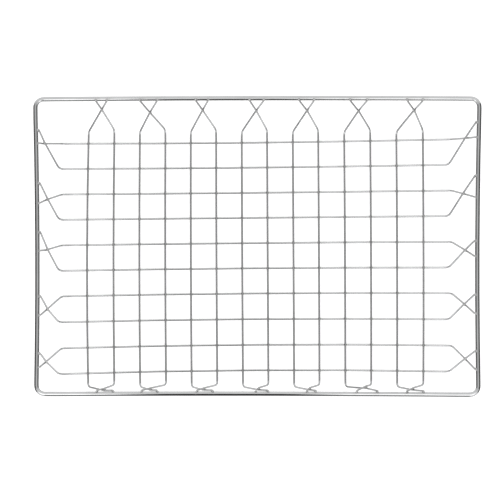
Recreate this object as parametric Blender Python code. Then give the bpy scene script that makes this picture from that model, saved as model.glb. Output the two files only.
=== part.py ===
"""A bakery cooling rack: a shallow open tray of round steel wire hung inside a heavier rim rod.

Ten long wires and fourteen cross wires make a square mesh. The two ends of each wire turn up and
out, cross the next wire of its pair half way up the wall, and are welded to the inside of the rim.
The rack stands on its long wires. Metres, +Z up, +X along the rack, +Y towards its back. The
origin is on the ground under the middle of the rack.
"""

import math

import bmesh
import bpy
from mathutils import Vector

MM = 0.001
UP = Vector((0, 0, 1))
GAP = 0.3 * MM  # left at every weld, so that each rod and wire stays a solid of its own

# Rim rod
LENGTH = 660.4 * MM
DEPTH = 453.9 * MM
ROD_RADIUS = 3.45 * MM  # across the flats
ROD_SIDES = 16
ROD_REACH = ROD_RADIUS / math.cos(math.pi / ROD_SIDES)  # across the corners
ROD_HEIGHT = 70.8 * MM  # of its centreline above the ground
CORNER_RADIUS = 12.0 * MM  # of its centreline
END_BOW = 2.3 * MM  # the two short ends are drawn in by this at their middle
END_TAPER = 3.0 * MM  # each short end is closer to the middle by this at its front corner
SIDE_BOW = 1.0 * MM  # the two long sides both lean back by this at their middle
SIDE_SPREAD = 0.56 * MM  # each long side is further out by this on the right, and less on the left
BACK_REACH = 1.08 * MM  # the most that bow and spread together push out the back side
CORNER_STEPS = 6
SIDE_STEPS = 6

# Wires
WIRE_RADIUS = 1.34 * MM  # across the flats
WIRE_SIDES = 8
WIRE_REACH = WIRE_RADIUS / math.cos(math.pi / WIRE_SIDES)  # across the corners
PITCH = 38.1 * MM
LONG_WIRES = 10
CROSS_WIRES = 14
LONG_HALF = 287.0 * MM  # from the middle of the rack to a long wire's bend
CROSS_HALF = 192.5 * MM
LONG_SHIFT = 2.0 * MM  # neighbouring wires sit this much to either side lengthwise
CROSS_SHIFT = 1.5 * MM
LONG_LEVEL = WIRE_RADIUS  # centreline heights of the two layers of the mesh
CROSS_LEVEL = 3 * WIRE_RADIUS + GAP
BEND_RADIUS = 7.0 * MM
BEND_STEPS = 4
BASE_STEPS = 4

# Wire ends
TIP_LEAN = math.radians(25)  # of the last stretch, from upright towards the rod
TIP_LENGTH = 2.5 * MM  # past the weld
ROD_TO_WIRE = ROD_REACH + WIRE_REACH + GAP
CROSSING_OFFSET = WIRE_REACH + GAP / 2  # of each wire of a pair, square to the wall

# How the hand-set mesh strays from a true grid in the middle of the rim
MESH_X = -3.0 * MM
MESH_Y = 1.3 * MM
CROSS_SLIP = -4.0 * MM  # of the cross wires lengthwise
LONG_SKEW = (1.9 * MM, 3.3 * MM)  # end offset of the front and the back long wire
LONG_FLARE = (-3.9 * MM, 1.7 * MM)  # the long wires spread apart towards their ends
CROSS_SKEW = 1.0 * MM
CROSS_FLARE = (2.1 * MM, -0.7 * MM)
LONG_STRAYS = (-0.9, -0.6, 0.0, 0.6, 0.5, 0.5, 0.5, 0.3, 0.3, 0.0)  # mm, front to back
CROSS_STRAYS = (0, 0.8, 0.8, 0.8, 0.4, 0, -0.2, -0.8, -0.9, -1.5, -1.3, -1.1, -0.8, 0)  # mm

# The ends of each pair of wires, in mm: the two places where they meet the rim, from the middle of
# that side of the rack, and how far their crossing strays along the wall and outwards
BACK_ENDS = (
    (-237, -222, 1.3, 0.9),
    (-172, -148, 0.4, 1.0),
    (-90, -73, 1.0, 0.8),
    (-11, 9, 1.3, 1.5),
    (62, 83, 2.1, 2.2),
    (137, 161, 1.5, 3.0),
    (221, 243, 2.4, 2.8),
)
FRONT_ENDS = (
    (-235, -212, 1.5, 1.2),
    (-169, -147, 0.0, 0.7),
    (-88, -66, -0.7, 0.7),
    (-2, 15, -1.5, 0.0),
    (73, 85, -0.5, -0.6),
    (146, 175, 4.5, -2.0),
    (220, 243, -0.5, 0.0),
)
LEFT_ENDS = (
    (-182, -162, -3.0, 1.5),
    (-104, -76, -4.0, 2.6),
    (-7, 20, -2.2, 3.0),
    (65, 94, -0.7, 3.0),
    (155, 174, 0.0, 3.6),
)
RIGHT_ENDS = (
    (-185, -159, 0.0, 0.0),
    (-101, -74, 0.0, 0.0),
    (-15, 7, 0.0, 0.0),
    (74, 105, 0.0, 0.0),
    (164, 186, 0.0, 0.0),
)

# Half sizes of the rim's centreline, up to its corners
ROD_X = LENGTH / 2 - ROD_RADIUS
ROD_Y = (DEPTH - BACK_REACH - SIDE_SPREAD) / 2 - ROD_RADIUS
MIDDLE_Y = (SIDE_SPREAD - BACK_REACH) / 2


def bow(along, half):
    """1 in the middle of a side of the rim and 0 where its corners start."""
    return max(0.0, 1 - (along / (half - CORNER_RADIUS)) ** 2)


def taper(y):
    """How much closer to the middle a short end is at y than at its back corner."""
    return END_TAPER * (MIDDLE_Y + ROD_Y - y) / (2 * ROD_Y)


def rod_end(side, y):
    """The x of the rod's centreline on a short end: side is 1 on the right and -1 on the left."""
    return side * (ROD_X - taper(y) - END_BOW * bow(y - MIDDLE_Y, ROD_Y))


def rod_side(side, x):
    """The y of the centreline on a long side: side is 1 at the back and -1 at the front."""
    return MIDDLE_Y + side * (ROD_Y + SIDE_SPREAD * x / ROD_X) + SIDE_BOW * bow(x, ROD_X)


def rim_path():
    """Points round the rod's centreline, anticlockwise from its front right corner."""
    straight_x = ROD_X - CORNER_RADIUS
    straight_y = ROD_Y - CORNER_RADIUS
    points = []
    for corner, (side_x, side_y) in enumerate(((1, -1), (1, 1), (-1, 1), (-1, -1))):
        centre = Vector((side_x * straight_x, MIDDLE_Y + side_y * straight_y, ROD_HEIGHT))
        for step in range(CORNER_STEPS + 1):
            angle = math.pi / 2 * (corner - 1 + step / CORNER_STEPS)
            point = centre + CORNER_RADIUS * Vector((math.cos(angle), math.sin(angle), 0))
            point.x -= side_x * taper(point.y)
            point.y += side_y * SIDE_SPREAD * point.x / ROD_X
            points.append(point)
        for step in range(1, SIDE_STEPS):
            travel = (2 * step / SIDE_STEPS - 1) * (1, -1, -1, 1)[corner]
            if side_x * side_y < 0:
                y = MIDDLE_Y + travel * straight_y
                points.append(Vector((rod_end(side_x, y), y, ROD_HEIGHT)))
            else:
                x = travel * straight_x
                points.append(Vector((x, rod_side(side_y, x), ROD_HEIGHT)))
    return points


def rounded(points, bends):
    """The line through the points, with an inner one turned into an arc where it has a bend.

    A bend is (radius, steps), or None where the line is all but straight.
    """
    path = [points[0]]
    for before, corner, after, bend in zip(points, points[1:], points[2:], bends):
        if bend is None:
            path.append(corner)
            continue
        radius, steps = bend
        arrive = (corner - before).normalized()
        leave = (after - corner).normalized()
        half_turn = arrive.angle(leave) / 2
        centre = corner + (leave - arrive).normalized() * radius / math.cos(half_turn)
        first = corner - arrive * radius * math.tan(half_turn) - centre
        last = corner + leave * radius * math.tan(half_turn) - centre
        for step in range(steps + 1):
            turned = 2 * half_turn * step / steps
            mix = first * math.sin(2 * half_turn - turned) + last * math.sin(turned)
            path.append(centre + mix / math.sin(2 * half_turn))
    path.append(points[-1])
    return path


def pair_end(bends, ends, inner, run_axis, rod_at):
    """Crossing, weld and tip points of the two wires of a pair at one side of the rack.

    bends are the two corners where the wires leave the mesh, in order along the side. ends is a
    row of one of the tables above, and each wire goes to the far one of its two places. inner is
    the wire that passes inside the other. run_axis points along the side, and rod_at gives the
    rod's centreline.
    """
    *places, drift_along, bulge = ends
    out = UP.cross(run_axis)
    if out.dot(bends[0]) < 0:
        out = -out
    slants = []
    for bend, place in zip(bends, reversed(places)):
        rod = rod_at(place * MM)
        weld = rod + ROD_TO_WIRE * (math.sin(TIP_LEAN) * UP - math.cos(TIP_LEAN) * out)
        slant = weld - bend
        drift = run_axis * slant.dot(run_axis) / (slant - run_axis * slant.dot(run_axis)).length
        tip = weld + TIP_LENGTH * (math.sin(TIP_LEAN) * out + math.cos(TIP_LEAN) * UP + drift)
        slants.append((bend, weld, tip))
    (bend_1, weld_1, _), (bend_2, weld_2, _) = slants
    spread = (bend_2 - bend_1).dot(run_axis)
    swap = (weld_1 - weld_2).dot(run_axis)
    share = spread / (spread + swap)
    crossing = (bend_1.lerp(weld_1, share) + bend_2.lerp(weld_2, share)) / 2
    crossing += drift_along * MM * run_axis
    slope = (weld_1 + weld_2 - bend_1 - bend_2).normalized()
    inward = run_axis.cross(slope).normalized()
    if inward.dot(out) > 0:
        inward = -inward
    walls = []
    for wire, (_, weld, tip) in enumerate(slants):
        offset = CROSSING_OFFSET if wire == inner else -CROSSING_OFFSET
        walls.append((crossing + (offset - bulge * MM) * inward, weld, tip))
    return walls


def long_base(wire, along):
    """A point of a long wire's level stretch: along is -1 at its left bend and 1 at its right."""
    rank = wire / (LONG_WIRES - 1)
    skew = LONG_SKEW[0] + (LONG_SKEW[1] - LONG_SKEW[0]) * rank
    flare = LONG_FLARE[0] + (LONG_FLARE[1] - LONG_FLARE[0]) * rank
    shift = LONG_SHIFT if wire % 2 else -LONG_SHIFT
    y = MESH_Y + PITCH * (wire - (LONG_WIRES - 1) / 2) + LONG_STRAYS[wire] * MM
    return Vector((MESH_X + LONG_HALF * along + shift, y + skew * along + flare * along**2, LONG_LEVEL))


def cross_base(wire, along):
    """The same for a cross wire: along is -1 at its front bend and 1 at its back."""
    rank = wire / (CROSS_WIRES - 1)
    skew = -CROSS_SKEW * math.sin(math.pi * rank)
    flare = CROSS_FLARE[0] + (CROSS_FLARE[1] - CROSS_FLARE[0]) * math.sqrt(rank)
    shift = CROSS_SHIFT if wire % 2 else -CROSS_SHIFT
    x = MESH_X + PITCH * (wire - (CROSS_WIRES - 1) / 2) + CROSS_STRAYS[wire] * MM
    y = MESH_Y + CROSS_SLIP + CROSS_HALF * along + shift
    return Vector((x + skew * along + flare * along**2, y, CROSS_LEVEL))


def pair_paths(first, base, inner, run_axis, rod_at, ends):
    """Centrelines of the wires first and first + 1. rod_at and ends hold their low side first."""
    walls = []
    for side in (0, 1):
        bends = [base(first + n, 2 * side - 1) for n in (0, 1)]
        walls.append(pair_end(bends, ends[side][first // 2], inner, run_axis, rod_at[side]))
    paths = []
    for n in (0, 1):
        level = [base(first + n, 2 * step / BASE_STEPS - 1) for step in range(BASE_STEPS + 1)]
        points = [*reversed(walls[0][n]), *level, *walls[1][n]]
        bend = (BEND_RADIUS, BEND_STEPS)
        level_bends = [None] * (BASE_STEPS - 1)
        paths.append(rounded(points, [None, None, bend, *level_bends, bend, None, None]))
    return paths


def tube(name, path, radius, sides, level_axis, closed, material):
    """A round bar along the path. Its sides keep one flat face square to level_axis and up."""
    mesh = bpy.data.meshes.new(name)
    sweep = bmesh.new()
    rings = []
    last = len(path) - 1
    for index, point in enumerate(path):
        before = path[index - 1] if index or closed else point
        after = path[(index + 1) % len(path)] if index < last or closed else point
        heading = (after - before).normalized()
        side = (level_axis - heading * heading.dot(level_axis)).normalized()
        up = heading.cross(side)
        ring = []
        for corner in range(sides):
            angle = 2 * math.pi * (corner + 0.5) / sides
            ring.append(sweep.verts.new(point + radius * (math.cos(angle) * side + math.sin(angle) * up)))
        rings.append(ring)
    for ring, following in zip(rings, rings[1:] + rings[:1] if closed else rings[1:]):
        for corner in range(sides):
            other = (corner + 1) % sides
            sweep.faces.new((ring[corner], ring[other], following[other], following[corner]))
    if not closed:
        sweep.faces.new(reversed(rings[0]))
        sweep.faces.new(rings[-1])
    bmesh.ops.recalc_face_normals(sweep, faces=sweep.faces)
    sweep.to_mesh(mesh)
    sweep.free()
    mesh.shade_smooth()
    mesh.set_sharp_from_angle(angle=math.radians(50))
    mesh.materials.append(material)
    part = bpy.data.objects.new(name, mesh)
    bpy.context.collection.objects.link(part)
    return part


def steel(name, colour, roughness):
    material = bpy.data.materials.new(name)
    material.use_nodes = True
    shader = material.node_tree.nodes["Principled BSDF"]
    shader.inputs["Base Color"].default_value = (*colour, 1)
    shader.inputs["Metallic"].default_value = 1
    shader.inputs["Roughness"].default_value = roughness
    return material


def make_wires():
    bright = steel("bright_wire", (0.78, 0.79, 0.80), 0.22)
    x_axis = Vector((1, 0, 0))
    y_axis = Vector((0, 1, 0))

    def left(y):
        return Vector((rod_end(-1, y), y, ROD_HEIGHT))

    def right(y):
        return Vector((rod_end(1, y), y, ROD_HEIGHT))

    def front(x):
        return Vector((x, rod_side(-1, x), ROD_HEIGHT))

    def back(x):
        return Vector((x, rod_side(1, x), ROD_HEIGHT))

    for first in range(0, LONG_WIRES, 2):
        paths = pair_paths(first, long_base, 0, y_axis, (left, right), (LEFT_ENDS, RIGHT_ENDS))
        for wire, path in enumerate(paths, first + 1):
            tube(f"long_wire_{wire:02d}", path, WIRE_REACH, WIRE_SIDES, y_axis, False, bright)
    for first in range(0, CROSS_WIRES, 2):
        paths = pair_paths(first, cross_base, 1, x_axis, (front, back), (FRONT_ENDS, BACK_ENDS))
        for wire, path in enumerate(paths, first + 1):
            tube(f"cross_wire_{wire:02d}", path, WIRE_REACH, WIRE_SIDES, x_axis, False, bright)


def main():
    for old in list(bpy.data.objects):
        bpy.data.objects.remove(old, do_unlink=True)
    polished = steel("rim_steel", (0.72, 0.73, 0.74), 0.18)
    tube("rim_rod", rim_path(), ROD_REACH, ROD_SIDES, UP, True, polished)
    make_wires()


main()
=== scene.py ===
"""Looks of the wire cooling rack: smooth round bars drawn along the CAD bars, welds, chrome and studio."""

import math
import random

import bmesh
import bpy
import numpy as np
from mathutils import Matrix, Vector, noise
from mathutils.kdtree import KDTree


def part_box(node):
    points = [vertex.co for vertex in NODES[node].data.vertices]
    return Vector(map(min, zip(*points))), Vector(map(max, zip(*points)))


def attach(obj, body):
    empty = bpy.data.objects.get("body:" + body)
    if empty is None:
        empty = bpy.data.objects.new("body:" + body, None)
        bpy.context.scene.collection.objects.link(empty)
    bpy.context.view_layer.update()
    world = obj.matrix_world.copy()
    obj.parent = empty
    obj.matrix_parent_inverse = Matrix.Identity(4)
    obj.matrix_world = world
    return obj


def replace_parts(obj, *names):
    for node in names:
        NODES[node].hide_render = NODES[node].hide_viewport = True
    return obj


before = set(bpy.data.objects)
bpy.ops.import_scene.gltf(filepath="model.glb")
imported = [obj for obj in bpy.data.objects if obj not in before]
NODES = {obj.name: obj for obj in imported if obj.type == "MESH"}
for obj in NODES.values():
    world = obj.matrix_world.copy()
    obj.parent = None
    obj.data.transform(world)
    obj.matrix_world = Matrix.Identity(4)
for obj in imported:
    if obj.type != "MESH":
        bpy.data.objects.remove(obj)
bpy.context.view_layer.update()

MM = 0.001
UP = Vector((0, 0, 1))
LONG_NAMES = sorted(n for n in NODES if n.startswith("long_wire"))
CROSS_NAMES = sorted(n for n in NODES if n.startswith("cross_wire"))

# Bars
WIRE_RADIUS = 1.42 * MM
ROD_RADIUS = 3.45 * MM
WIRE_SIDES = 16
ROD_SIDES = 36
SAME_CORNER = 0.01 * MM  # corners of the CAD solid this close together are one
RING_EDGE = 1.15  # the longest edge of a ring of corners, in lengths of the solid's shortest edge
SAMPLE = 1.0 * MM  # spacing of the points that a bar's line is smoothed at
SMOOTHING = 12  # rounds of that smoothing
LONGEST_STEP = 14.0 * MM  # from ring to ring
LARGEST_TURN = math.radians(4.0)
SHARP = math.radians(40.0)  # edges that turn by more than this are shaded sharp
CHAMFER = 0.3 * MM  # of a wire's cut end
BUTT_SWELL = 0.12 * MM  # of the rod where its two ends are welded to each other
BUTT_REACH = 3.0 * MM
BUTT_Y = 42.0 * MM  # on the left end of the rim
WALL_SAMPLES = 30  # in the stretch of a wire that can touch the rim
HEAT_NEAR = 2.0 * MM  # from a weld: the plating is dullest up to here
HEAT_FAR = 7.0 * MM  # and quite bright from here on
HEAT_STEP = 1.8 * MM  # the most that a bar's distance from a weld changes from ring to ring

# Welds: half sizes along the first bar, across it, and through both bars
MESH_WELD = (1.75 * MM, 1.75 * MM, 1.05 * MM)
WALL_WELD = (2.0 * MM, 1.7 * MM, 1.0 * MM)
RIM_WELD = (2.7 * MM, 1.9 * MM, 1.3 * MM)
TIP_WELD = 1.3 * MM  # how far up its wire a rim weld's middle is, past the closest point
WELD_SMALLEST = 0.92  # of those sizes
WELD_LARGEST = 1.1
WELD_SHIFT = 0.2 * MM  # the most that a weld sits off its crossing, along each axis
WELD_ROUGH = 0.16  # unevenness, as a share of the size
WELD_HEAT = 0.5  # how dull a weld's own surface is, from 0 for bright to 1
LUMPS = 1.3  # noise waves across half a weld
FINE_LUMPS = 3.1
FINE_SHARE = 0.4  # how high the fine lumps are, next to the others
LUMP_STEP = 7.1  # from one weld's part of the noise to the next one's
FINE_STEP = 5.3
GRAIN_STEP = 20 * MM  # from one weld's part of the steel's grain to the next one's

# Steel
BRIGHT = (0.62, 0.625, 0.63)
RIM_DULL = (0.57, 0.575, 0.58)
RIM_ROUGHNESS = 0.07
WIRE_DULL = (0.56, 0.565, 0.57)
WIRE_ROUGHNESS = 0.11
EDGE_TINT = (0.62, 0.62, 0.62, 1)  # of the steel seen edge on
HEAT_COLOUR = (0.47, 0.465, 0.455)
RELIEF = 0.0025 * MM  # height of a full mark of weight 1

# Marks in the steel: waves per metre along and across the bar, octaves, and the noise levels
# where a mark starts and where it is full
MARKS = {
    "lines": ((35, 3200, 3200), 2, (0.35, 0.65)),
    "peel": ((800, 800, 800), 2, (0.30, 0.70)),
    "cloud": ((28, 110, 110), 3, (0.38, 0.62)),
    "specks": ((700, 1400, 1400), 1, (0.70, 0.76)),
}
# What each mark adds: to the share of HEAT_COLOUR, to the roughness, and to the height of the relief
COLOUR_MARKS = {"heat": 0.55, "specks": 0.35}
ROUGH_MARKS = {"lines": 0.05, "cloud": -0.04, "specks": 0.12, "heat": 0.16}
RELIEF_MARKS = {"lines": 0.35, "peel": 1.0, "specks": -0.8}

# Softboxes and boards, in metres: centre, the place it faces, (width, height), brightness, and the
# shares of its half width and half height over which it fades out
CARDS = {
    "softbox_right": ((0.80, -1.38, 1.71), (0.80, 0, 0), (1.6, 2.0), 1.9, (0.15, 0.2)),
    "softbox_left": ((-0.90, -1.38, 1.71), (-0.90, 0, 0), (1.6, 2.0), 2.0, (0.15, 0.2)),
    "camera_stand": ((-0.05, -0.56, 0.49), (-0.05, 0, 0.02), (0.42, 0.62), 0.02, (0.6, 0.4)),
    "board_left": ((-0.9, -0.12, -0.05), (0, -0.12, -0.05), (1.0, 0.78), 0.0, (0.2, 0.2)),
    "board_right": ((0.9, 0.0, -0.05), (0, 0.0, -0.05), (1.24, 0.78), 0.0, (0.2, 0.2)),
}

# Brightness of the surroundings by height: 0 is straight down, 0.5 level and 1 straight up
ROOM = ((0.0, 1.0), (1.0, 0.95))
FRONT_GAP = ((0.24, 1.0), (0.29, 0.05), (0.69, 0.06), (0.81, 0.95))
END_GAPS = ((0.20, 1.0), (0.26, 0.40), (0.56, 0.22), (0.80, 0.30), (1.0, 0.47))
# Where the gaps are: 0 is left or front, 0.5 the middle and 1 right or back
FRONT_GAP_Y = ((0.35, 1.0), (0.48, 0.0))
FRONT_GAP_X = ((0.42, 0.0), (0.46, 1.0), (0.54, 1.0), (0.58, 0.0))
END_GAPS_Y = ((0.44, 0.0), (0.52, 1.0), (0.70, 1.0), (0.78, 0.0))
END_GAPS_X = ((0.33, 1.0), (0.44, 0.0), (0.56, 0.0), (0.67, 1.0))

# Floor: a lit table that reaches far past the camera's view
FLOOR_HALF = 30.0
FLOOR_DROP = 0.2 * MM  # below the rack
FLOOR_COLOUR = (0.85, 0.85, 0.85, 1)
FLOOR_GLOW = 0.6
FLOOR_ROUGHNESS = 0.9
FLOOR_GLOSS = 0.1

# Camera
CAMERA_TILT = math.radians(13.0)  # from straight above, towards the front
CAMERA_DISTANCE = 25.0
SENSOR = 36.0  # its width, in the lens's own millimetres
VIEW_WIDTH = 734.15 * MM  # that the camera takes in at the rim
AIM_LEFT = 10.8 * MM  # of the rim's middle
AIM_BELOW = 5.6 * MM

COLOUR_LOW, COLOUR_HIGH, COLOUR_OUT = 6, 7, 2  # a colour Mix node's sockets


# ---- lines of the bars, read from their CAD solids ----

def bar_line(node):
    """Centres of the rings of corners that a CAD bar was swept through, in order, and if they close."""
    solid = bmesh.new()
    solid.from_mesh(NODES[node].data)
    bmesh.ops.remove_doubles(solid, verts=solid.verts, dist=SAME_CORNER)
    ring_edge = RING_EDGE * min(edge.calc_length() for edge in solid.edges)
    ring_of = {}
    rings = []
    for start in solid.verts:
        if start in ring_of:
            continue
        members, todo = [], [start]
        ring_of[start] = len(rings)
        while todo:
            vert = todo.pop()
            members.append(vert)
            for edge in vert.link_edges:
                other = edge.other_vert(vert)
                if edge.calc_length() < ring_edge and other not in ring_of:
                    ring_of[other] = len(rings)
                    todo.append(other)
        rings.append(members)
    centres = [sum((v.co for v in ring), Vector()) / len(ring) for ring in rings]
    next_to = [set() for _ in rings]
    for edge in solid.edges:
        a, b = (ring_of[v] for v in edge.verts)
        if a != b:
            next_to[a].add(b)
            next_to[b].add(a)
    solid.free()
    ends = [i for i, near in enumerate(next_to) if len(near) == 1]
    order = [min(ends, key=lambda i: tuple(centres[i])) if ends else 0]
    while len(order) < len(rings):
        onward = sorted(next_to[order[-1]] - set(order))
        if not onward:
            break
        order.append(onward[0])
    return [centres[i] for i in order], not ends


def smooth_line(points, closed):
    """The polyline sampled evenly and relaxed, so that its short facets become true bends."""
    corners = np.array([tuple(p) for p in (points + points[:1] if closed else points)])
    lengths = np.concatenate([[0], np.cumsum(np.linalg.norm(np.diff(corners, axis=0), axis=1))])
    at = np.linspace(0, lengths[-1], round(lengths[-1] / SAMPLE) + 1)
    line = np.stack([np.interp(at, lengths, corners[:, i]) for i in range(3)], axis=1)
    if closed:
        line = line[:-1]
    for _ in range(SMOOTHING):
        relaxed = (np.roll(line, 1, 0) + 2 * line + np.roll(line, -1, 0)) / 4
        if not closed:
            relaxed[0], relaxed[-1] = line[0], line[-1]
        line = relaxed
    return line


def kept_samples(line, closed, hot):
    """Indexes of the samples that the sweep needs: close together in bends and near welds."""
    ahead = np.roll(line, -1, 0) - line
    if not closed:
        ahead[-1] = ahead[-2]
    ahead /= np.linalg.norm(ahead, axis=1)[:, None]
    off = [min(hot.find(point)[2], HEAT_FAR) for point in line]
    kept = [0]
    for i in range(1, len(line) - 1):
        turn = math.acos(max(-1, min(1, float(ahead[i] @ ahead[kept[-1]]))))
        far = (i - kept[-1]) * SAMPLE > LONGEST_STEP
        if turn > LARGEST_TURN or far or abs(off[i] - off[kept[-1]]) > HEAT_STEP:
            kept.append(i)
    return kept if closed else kept + [len(line) - 1]


def closest(line_a, line_b):
    """Where two bars come closest: the point and the heading there, of each bar."""
    gaps = np.linalg.norm(line_a[:, None] - line_b[None], axis=2)
    ends = []
    for line, i in zip((line_a, line_b), np.unravel_index(gaps.argmin(), gaps.shape)):
        i = min(max(i, 1), len(line) - 2)
        ends.append((Vector(line[i]), Vector(line[i + 1] - line[i - 1]).normalized()))
    (a, along_a), (b, along_b) = ends
    shared = along_a.dot(along_b)
    part_a = (shared * along_b.dot(a - b) - along_a.dot(a - b)) / (1 - shared**2)
    part_b = (along_b.dot(a - b) - shared * along_a.dot(a - b)) / (1 - shared**2)
    return (a + part_a * along_a, along_a), (b + part_b * along_b, along_b)


# ---- meshes ----

def mesh_object(name, mesh, finish):
    mesh.shade_smooth()
    mesh.set_sharp_from_angle(angle=SHARP)
    mesh.materials.append(finish)
    piece = bpy.data.objects.new(name, mesh)
    bpy.context.collection.objects.link(piece)
    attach(piece, "root")
    return piece


def ring_rows(line, closed, radius, hot, butt):
    """Each ring of a bar as [middle, distance along the bar, radius].

    The closed bar swells at its butt weld, and the others have chamfered ends.
    """
    rows = [[Vector(line[i]), i * SAMPLE, radius] for i in kept_samples(line, closed, hot)]
    if closed:
        for row in rows:
            row[2] += BUTT_SWELL * math.exp(-((row[0] - butt).length / BUTT_REACH) ** 2)
        return rows
    for end, step in ((0, 1), (-1, -1)):
        middle, place, _ = rows[end]
        inward = (rows[end + step][0] - middle).normalized() * CHAMFER
        rows[end][2] = radius - CHAMFER
        rows.insert(step, [middle + inward, place + step * CHAMFER, radius])
    return rows


def bar_object(node, rows, closed, radius, sides, level_axis, hot, finish):
    """A round bar swept through its rings, in place of the CAD node.

    bar_place holds (along, round) for the grain of its steel, and weld_heat is 1 close to a weld.
    """
    sweep = bmesh.new()
    place_layer = sweep.verts.layers.float_vector.new("bar_place")
    heat_layer = sweep.verts.layers.float.new("weld_heat")
    rings = []
    for i, (middle, along, size) in enumerate(rows):
        before = rows[i - 1][0] if i or closed else middle
        after = rows[(i + 1) % len(rows)][0] if i < len(rows) - 1 or closed else middle
        heading = (after - before).normalized()
        side = (level_axis - heading * heading.dot(level_axis)).normalized()
        up = heading.cross(side)
        ring = []
        for k in range(sides):
            angle = 2 * math.pi * k / sides
            vert = sweep.verts.new(middle + size * (math.cos(angle) * side + math.sin(angle) * up))
            vert[place_layer] = (along, radius * math.cos(angle), radius * math.sin(angle))
            off = (hot.find(vert.co)[2] - HEAT_NEAR) / (HEAT_FAR - HEAT_NEAR)
            vert[heat_layer] = 1 - max(0, min(1, off))
            ring.append(vert)
        rings.append(ring)
    for ring, following in zip(rings, rings[1:] + rings[:1] if closed else rings[1:]):
        for k in range(sides):
            m = (k + 1) % sides
            sweep.faces.new((ring[k], ring[m], following[m], following[k]))
    if not closed:
        sweep.faces.new(reversed(rings[0]))
        sweep.faces.new(rings[-1])
    bmesh.ops.recalc_face_normals(sweep, faces=sweep.faces)
    mesh = bpy.data.meshes.new(node + "_bar")
    sweep.to_mesh(mesh)
    sweep.free()
    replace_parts(mesh_object(node + "_bar", mesh, finish), node)


def weld_object(name, welds, sizes, finish):
    """Uneven nuggets of metal, one at each (place, heading of one bar, heading of the other)."""
    beads = bmesh.new()
    place_layer = beads.verts.layers.float_vector.new("bar_place")
    heat_layer = beads.verts.layers.float.new("weld_heat")
    scatter = random.Random(name)
    for number, (place, first, second) in enumerate(welds):
        through = first.cross(second).normalized()
        axes = (first, through.cross(first), through)
        grown = scatter.uniform(WELD_SMALLEST, WELD_LARGEST)
        shift = Vector(scatter.uniform(-WELD_SHIFT, WELD_SHIFT) for _ in range(3))
        bead = bmesh.ops.create_icosphere(beads, subdivisions=3, radius=1)
        for vert in bead["verts"]:
            out = vert.co.copy()
            lumps = noise.noise(out * LUMPS + Vector((number * LUMP_STEP, 0, 0)))
            lumps += FINE_SHARE * noise.noise(out * FINE_LUMPS + Vector((0, number * FINE_STEP, 0)))
            reach = grown * (1 + WELD_ROUGH * lumps)
            local = [reach * size * part for size, part in zip(sizes, out)]
            vert[place_layer] = Vector(local) + Vector((number * GRAIN_STEP, 0, 0))
            vert[heat_layer] = WELD_HEAT
            vert.co = place + shift + sum((axis * part for axis, part in zip(axes, local)), Vector())
    mesh = bpy.data.meshes.new(name)
    beads.to_mesh(mesh)
    beads.free()
    mesh_object(name, mesh, finish)


# ---- materials ----

def add_node(tree, kind, inputs=None, **settings):
    """A new shader node. Each of its inputs is a number, a colour or a vector, or another node's output."""
    node = tree.nodes.new("ShaderNode" + kind)
    for name, value in settings.items():
        setattr(node, name, value)
    for socket, value in (inputs or {}).items():
        if isinstance(value, bpy.types.NodeSocket):
            tree.links.new(value, node.inputs[socket])
        else:
            node.inputs[socket].default_value = value
    return node


def ramp(tree, value, stops):
    """The value mapped through (place, level) stops."""
    node = add_node(tree, "ValToRGB", {0: value})
    elements = node.color_ramp.elements
    while len(elements) < len(stops):
        elements.new(0.5)
    for element, (place, level) in zip(elements, stops):
        element.position = place
        element.color = (level, level, level, 1)
    return node.outputs["Color"]


def mixed(tree, share, low, high):
    """From the low colour to the high one, by the share."""
    colours = {"Factor": share, COLOUR_LOW: low, COLOUR_HIGH: high}
    return add_node(tree, "Mix", colours, data_type="RGBA").outputs[COLOUR_OUT]


def chrome(name, dull, roughness):
    """Plated drawn steel: faint lines along the bar, cloudy wear, specks, and dull heated zones."""
    material = bpy.data.materials.new(name)
    material.use_nodes = True
    tree = material.node_tree
    place = add_node(tree, "Attribute", attribute_name="bar_place").outputs["Vector"]
    heat = add_node(tree, "Attribute", attribute_name="weld_heat").outputs["Fac"]
    marks = {"heat": heat}
    for mark, (waves, octaves, (start, full)) in MARKS.items():
        scaled = add_node(tree, "VectorMath", {0: place, 1: waves}, operation="MULTIPLY").outputs[0]
        texture = add_node(tree, "TexNoise", {"Vector": scaled, "Scale": 1, "Detail": octaves})
        marks[mark] = ramp(tree, texture.outputs["Fac"], ((start, 0), (full, 1)))

    def weighted(weights, total):
        """The total plus each named mark times its weight."""
        for mark, weight in weights.items():
            terms = {0: marks[mark], 1: weight, 2: total}
            total = add_node(tree, "Math", terms, operation="MULTIPLY_ADD").outputs[0]
        return total

    clean = mixed(tree, marks["cloud"], (*dull, 1), (*BRIGHT, 1))
    colour = mixed(tree, weighted(COLOUR_MARKS, 0), clean, (*HEAT_COLOUR, 1))
    relief = {"Strength": 1, "Distance": RELIEF, "Height": weighted(RELIEF_MARKS, 0)}
    shader = tree.nodes["Principled BSDF"]
    shader.inputs["Metallic"].default_value = 1
    shader.inputs["Specular Tint"].default_value = EDGE_TINT
    tree.links.new(colour, shader.inputs["Base Color"])
    tree.links.new(weighted(ROUGH_MARKS, roughness), shader.inputs["Roughness"])
    tree.links.new(add_node(tree, "Bump", relief).outputs["Normal"], shader.inputs["Normal"])
    return material


def light_table():
    """A matt pale surface that also glows."""
    material = bpy.data.materials.new("light_table")
    material.use_nodes = True
    shader = material.node_tree.nodes["Principled BSDF"]
    shader.inputs["Base Color"].default_value = FLOOR_COLOUR
    shader.inputs["Roughness"].default_value = FLOOR_ROUGHNESS
    shader.inputs["Specular IOR Level"].default_value = FLOOR_GLOSS
    shader.inputs["Emission Color"].default_value = (1, 1, 1, 1)
    shader.inputs["Emission Strength"].default_value = FLOOR_GLOW
    return material


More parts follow.
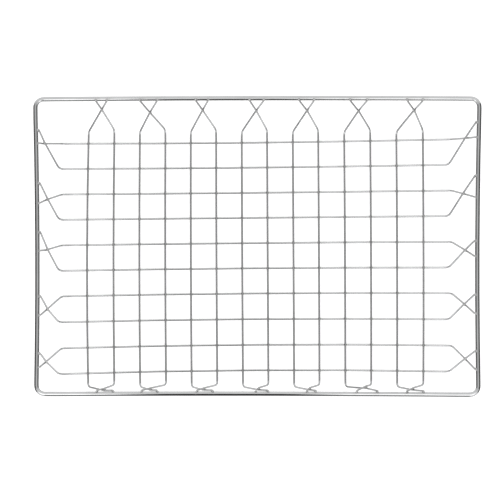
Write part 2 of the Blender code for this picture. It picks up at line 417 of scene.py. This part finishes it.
def glow(name, strength, fades):
    """Even light that fades to nothing towards the edges, over these shares of the half sizes."""
    material = bpy.data.materials.new(name)
    material.use_nodes = True
    tree = material.node_tree
    tree.nodes.clear()
    place = add_node(tree, "TexCoord").outputs["Generated"]
    split = add_node(tree, "SeparateXYZ", {0: place})
    level = 1
    for axis, fade in zip("XY", fades):
        off = add_node(tree, "Math", {0: split.outputs[axis], 1: 0.5}, operation="SUBTRACT")
        size = add_node(tree, "Math", {0: off.outputs[0]}, operation="ABSOLUTE")
        limits = {"From Min": 0.5 * (1 - fade), "From Max": 0.5, "To Min": 1, "To Max": 0}
        values = {"Value": size.outputs[0], **limits}
        edge = add_node(tree, "MapRange", values, interpolation_type="SMOOTHSTEP")
        level = add_node(tree, "Math", {0: edge.outputs[0], 1: level}, operation="MULTIPLY").outputs[0]
    light = add_node(tree, "Emission", {"Strength": strength}).outputs[0]
    clear = add_node(tree, "BsdfTransparent").outputs[0]
    mix = add_node(tree, "MixShader", {0: level, 1: clear, 2: light})
    add_node(tree, "OutputMaterial", {"Surface": mix.outputs[0]})
    return material


# ---- studio ----

def sheet(name, width, height, material):
    """A flat rectangle about its own middle."""
    mesh = bpy.data.meshes.new(name)
    x, y = width / 2, height / 2
    mesh.from_pydata([(-x, -y, 0), (x, -y, 0), (x, y, 0), (-x, y, 0)], [], [(0, 1, 2, 3)])
    mesh.materials.append(material)
    flat = bpy.data.objects.new(name, mesh)
    bpy.context.collection.objects.link(flat)
    return flat


def floor():
    table = sheet("floor", 2 * FLOOR_HALF, 2 * FLOOR_HALF, light_table())
    table.location.z = -FLOOR_DROP
    table.visible_glossy = False  # the steel reflects the surroundings in its place


def card(name, centre, facing, size, strength, fades):
    """A softbox or board that only the steel reflects. The camera doesn't see it and it casts no shadow."""
    board = sheet(name, *size, glow(name, strength, fades))
    towards = (Vector(facing) - Vector(centre)).normalized()
    level = UP.cross(towards).normalized()
    turn = Matrix((level, towards.cross(level), towards)).transposed()
    board.matrix_world = Matrix.Translation(centre) @ turn.to_4x4()
    board.visible_camera = False
    board.visible_diffuse = False
    board.visible_shadow = False


def surroundings():
    """A light room with a narrow dark gap in front and a wide dim one at either end."""
    world = bpy.data.worlds.new("studio")
    bpy.context.scene.world = world
    world.use_nodes = True
    tree = world.node_tree
    heading = add_node(tree, "TexCoord").outputs["Generated"]
    half = (0.5, 0.5, 0.5)  # takes headings from -1..1 to 0..1, for the ramps
    place = add_node(tree, "VectorMath", {0: heading, 1: half, 2: half}, operation="MULTIPLY_ADD")
    x, y, z = add_node(tree, "SeparateXYZ", {0: place.outputs[0]}).outputs
    room = ramp(tree, z, ROOM)
    front = mixed(tree, ramp(tree, y, FRONT_GAP_Y), room, ramp(tree, z, FRONT_GAP))
    level = mixed(tree, ramp(tree, x, FRONT_GAP_X), room, front)
    ends = mixed(tree, ramp(tree, y, END_GAPS_Y), level, ramp(tree, z, END_GAPS))
    level = mixed(tree, ramp(tree, x, END_GAPS_X), level, ends)
    tree.links.new(level, tree.nodes["Background"].inputs["Color"])


def camera():
    low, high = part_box("rim_rod")
    data = bpy.data.cameras.new("camera")
    data.sensor_width = SENSOR
    data.lens = SENSOR * CAMERA_DISTANCE / VIEW_WIDTH
    data.clip_end = 4 * CAMERA_DISTANCE
    view = bpy.data.objects.new("camera", data)
    bpy.context.collection.objects.link(view)
    towards = Vector((0, -math.sin(CAMERA_TILT), math.cos(CAMERA_TILT)))
    across = Vector((1, 0, 0))
    upward = towards.cross(across)
    aim = (low + high) / 2 - AIM_LEFT * across - AIM_BELOW * upward
    level = Matrix((across, upward, towards)).transposed()
    view.matrix_world = Matrix.Translation(aim + towards * CAMERA_DISTANCE) @ level.to_4x4()
    bpy.context.scene.camera = view
    bpy.context.scene.view_settings.view_transform = "Standard"


# ---- the rack ----

def find_welds(lines):
    """The welds of the mesh, the walls and the rim, each as (place, heading, other heading)."""
    mesh, walls, rim = [], [], []
    for long in LONG_NAMES:
        for cross in CROSS_NAMES:
            (a, along_a), (b, along_b) = closest(lines[long], lines[cross])
            mesh.append(((a + b) / 2, along_a, along_b))
    for names in (LONG_NAMES, CROSS_NAMES):
        for one, other in zip(names[::2], names[1::2]):
            half = len(lines[one]) // 2
            for part in (lines[one][:half], lines[one][half:]):
                (a, along_a), (b, along_b) = closest(part, lines[other])
                walls.append(((a + b) / 2, along_a, along_b))
    for name in LONG_NAMES + CROSS_NAMES:
        for part in (lines[name][WALL_SAMPLES::-1], lines[name][-WALL_SAMPLES:]):
            (a, along_a), (b, along_b) = closest(part, lines["rim_rod"])
            place = b + (a - b).normalized() * ROD_RADIUS + along_a * TIP_WELD
            rim.append((place, along_a, along_b))
    return mesh, walls, rim


def butt_weld(rod):
    """The sample of the rim's line where its two ends are welded to each other."""
    place = (rod[:, 0].min(), BUTT_Y, rod[0, 2])
    return Vector(rod[np.linalg.norm(rod - place, axis=1).argmin()])


def heat_tree(places):
    """Finds how far a point is from the nearest weld."""
    hot = KDTree(len(places))
    for number, place in enumerate(places):
        hot.insert(place, number)
    hot.balance()
    return hot


def make_rack():
    rim_finish = chrome("rim_chrome", RIM_DULL, RIM_ROUGHNESS)
    wire_finish = chrome("wire_chrome", WIRE_DULL, WIRE_ROUGHNESS)
    lines, closed = {}, {}
    for node in sorted(NODES):
        points, closed[node] = bar_line(node)
        lines[node] = smooth_line(points, closed[node])
    butt = butt_weld(lines["rim_rod"])
    mesh_welds, wall_welds, rim_welds = find_welds(lines)
    hot = heat_tree([weld[0] for weld in mesh_welds + wall_welds + rim_welds] + [butt])
    for node, line in lines.items():
        if node == "rim_rod":
            radius, sides, axis, finish, slot = ROD_RADIUS, ROD_SIDES, UP, rim_finish, "rim_chrome"
        else:
            axis = Vector((0, 1, 0)) if node in LONG_NAMES else Vector((1, 0, 0))
            radius, sides, finish, slot = WIRE_RADIUS, WIRE_SIDES, wire_finish, "wire_chrome"
        rows = ring_rows(line, closed[node], radius, hot, butt)
        bar_object(node, rows, closed[node], radius, sides, axis, hot, finish)
    weld_object("mesh_welds", mesh_welds, MESH_WELD, wire_finish)
    weld_object("wall_welds", wall_welds, WALL_WELD, wire_finish)
    weld_object("rim_welds", rim_welds, RIM_WELD, wire_finish)


make_rack()
floor()
for name, looks in CARDS.items():
    card(name, *looks)
surroundings()
camera()
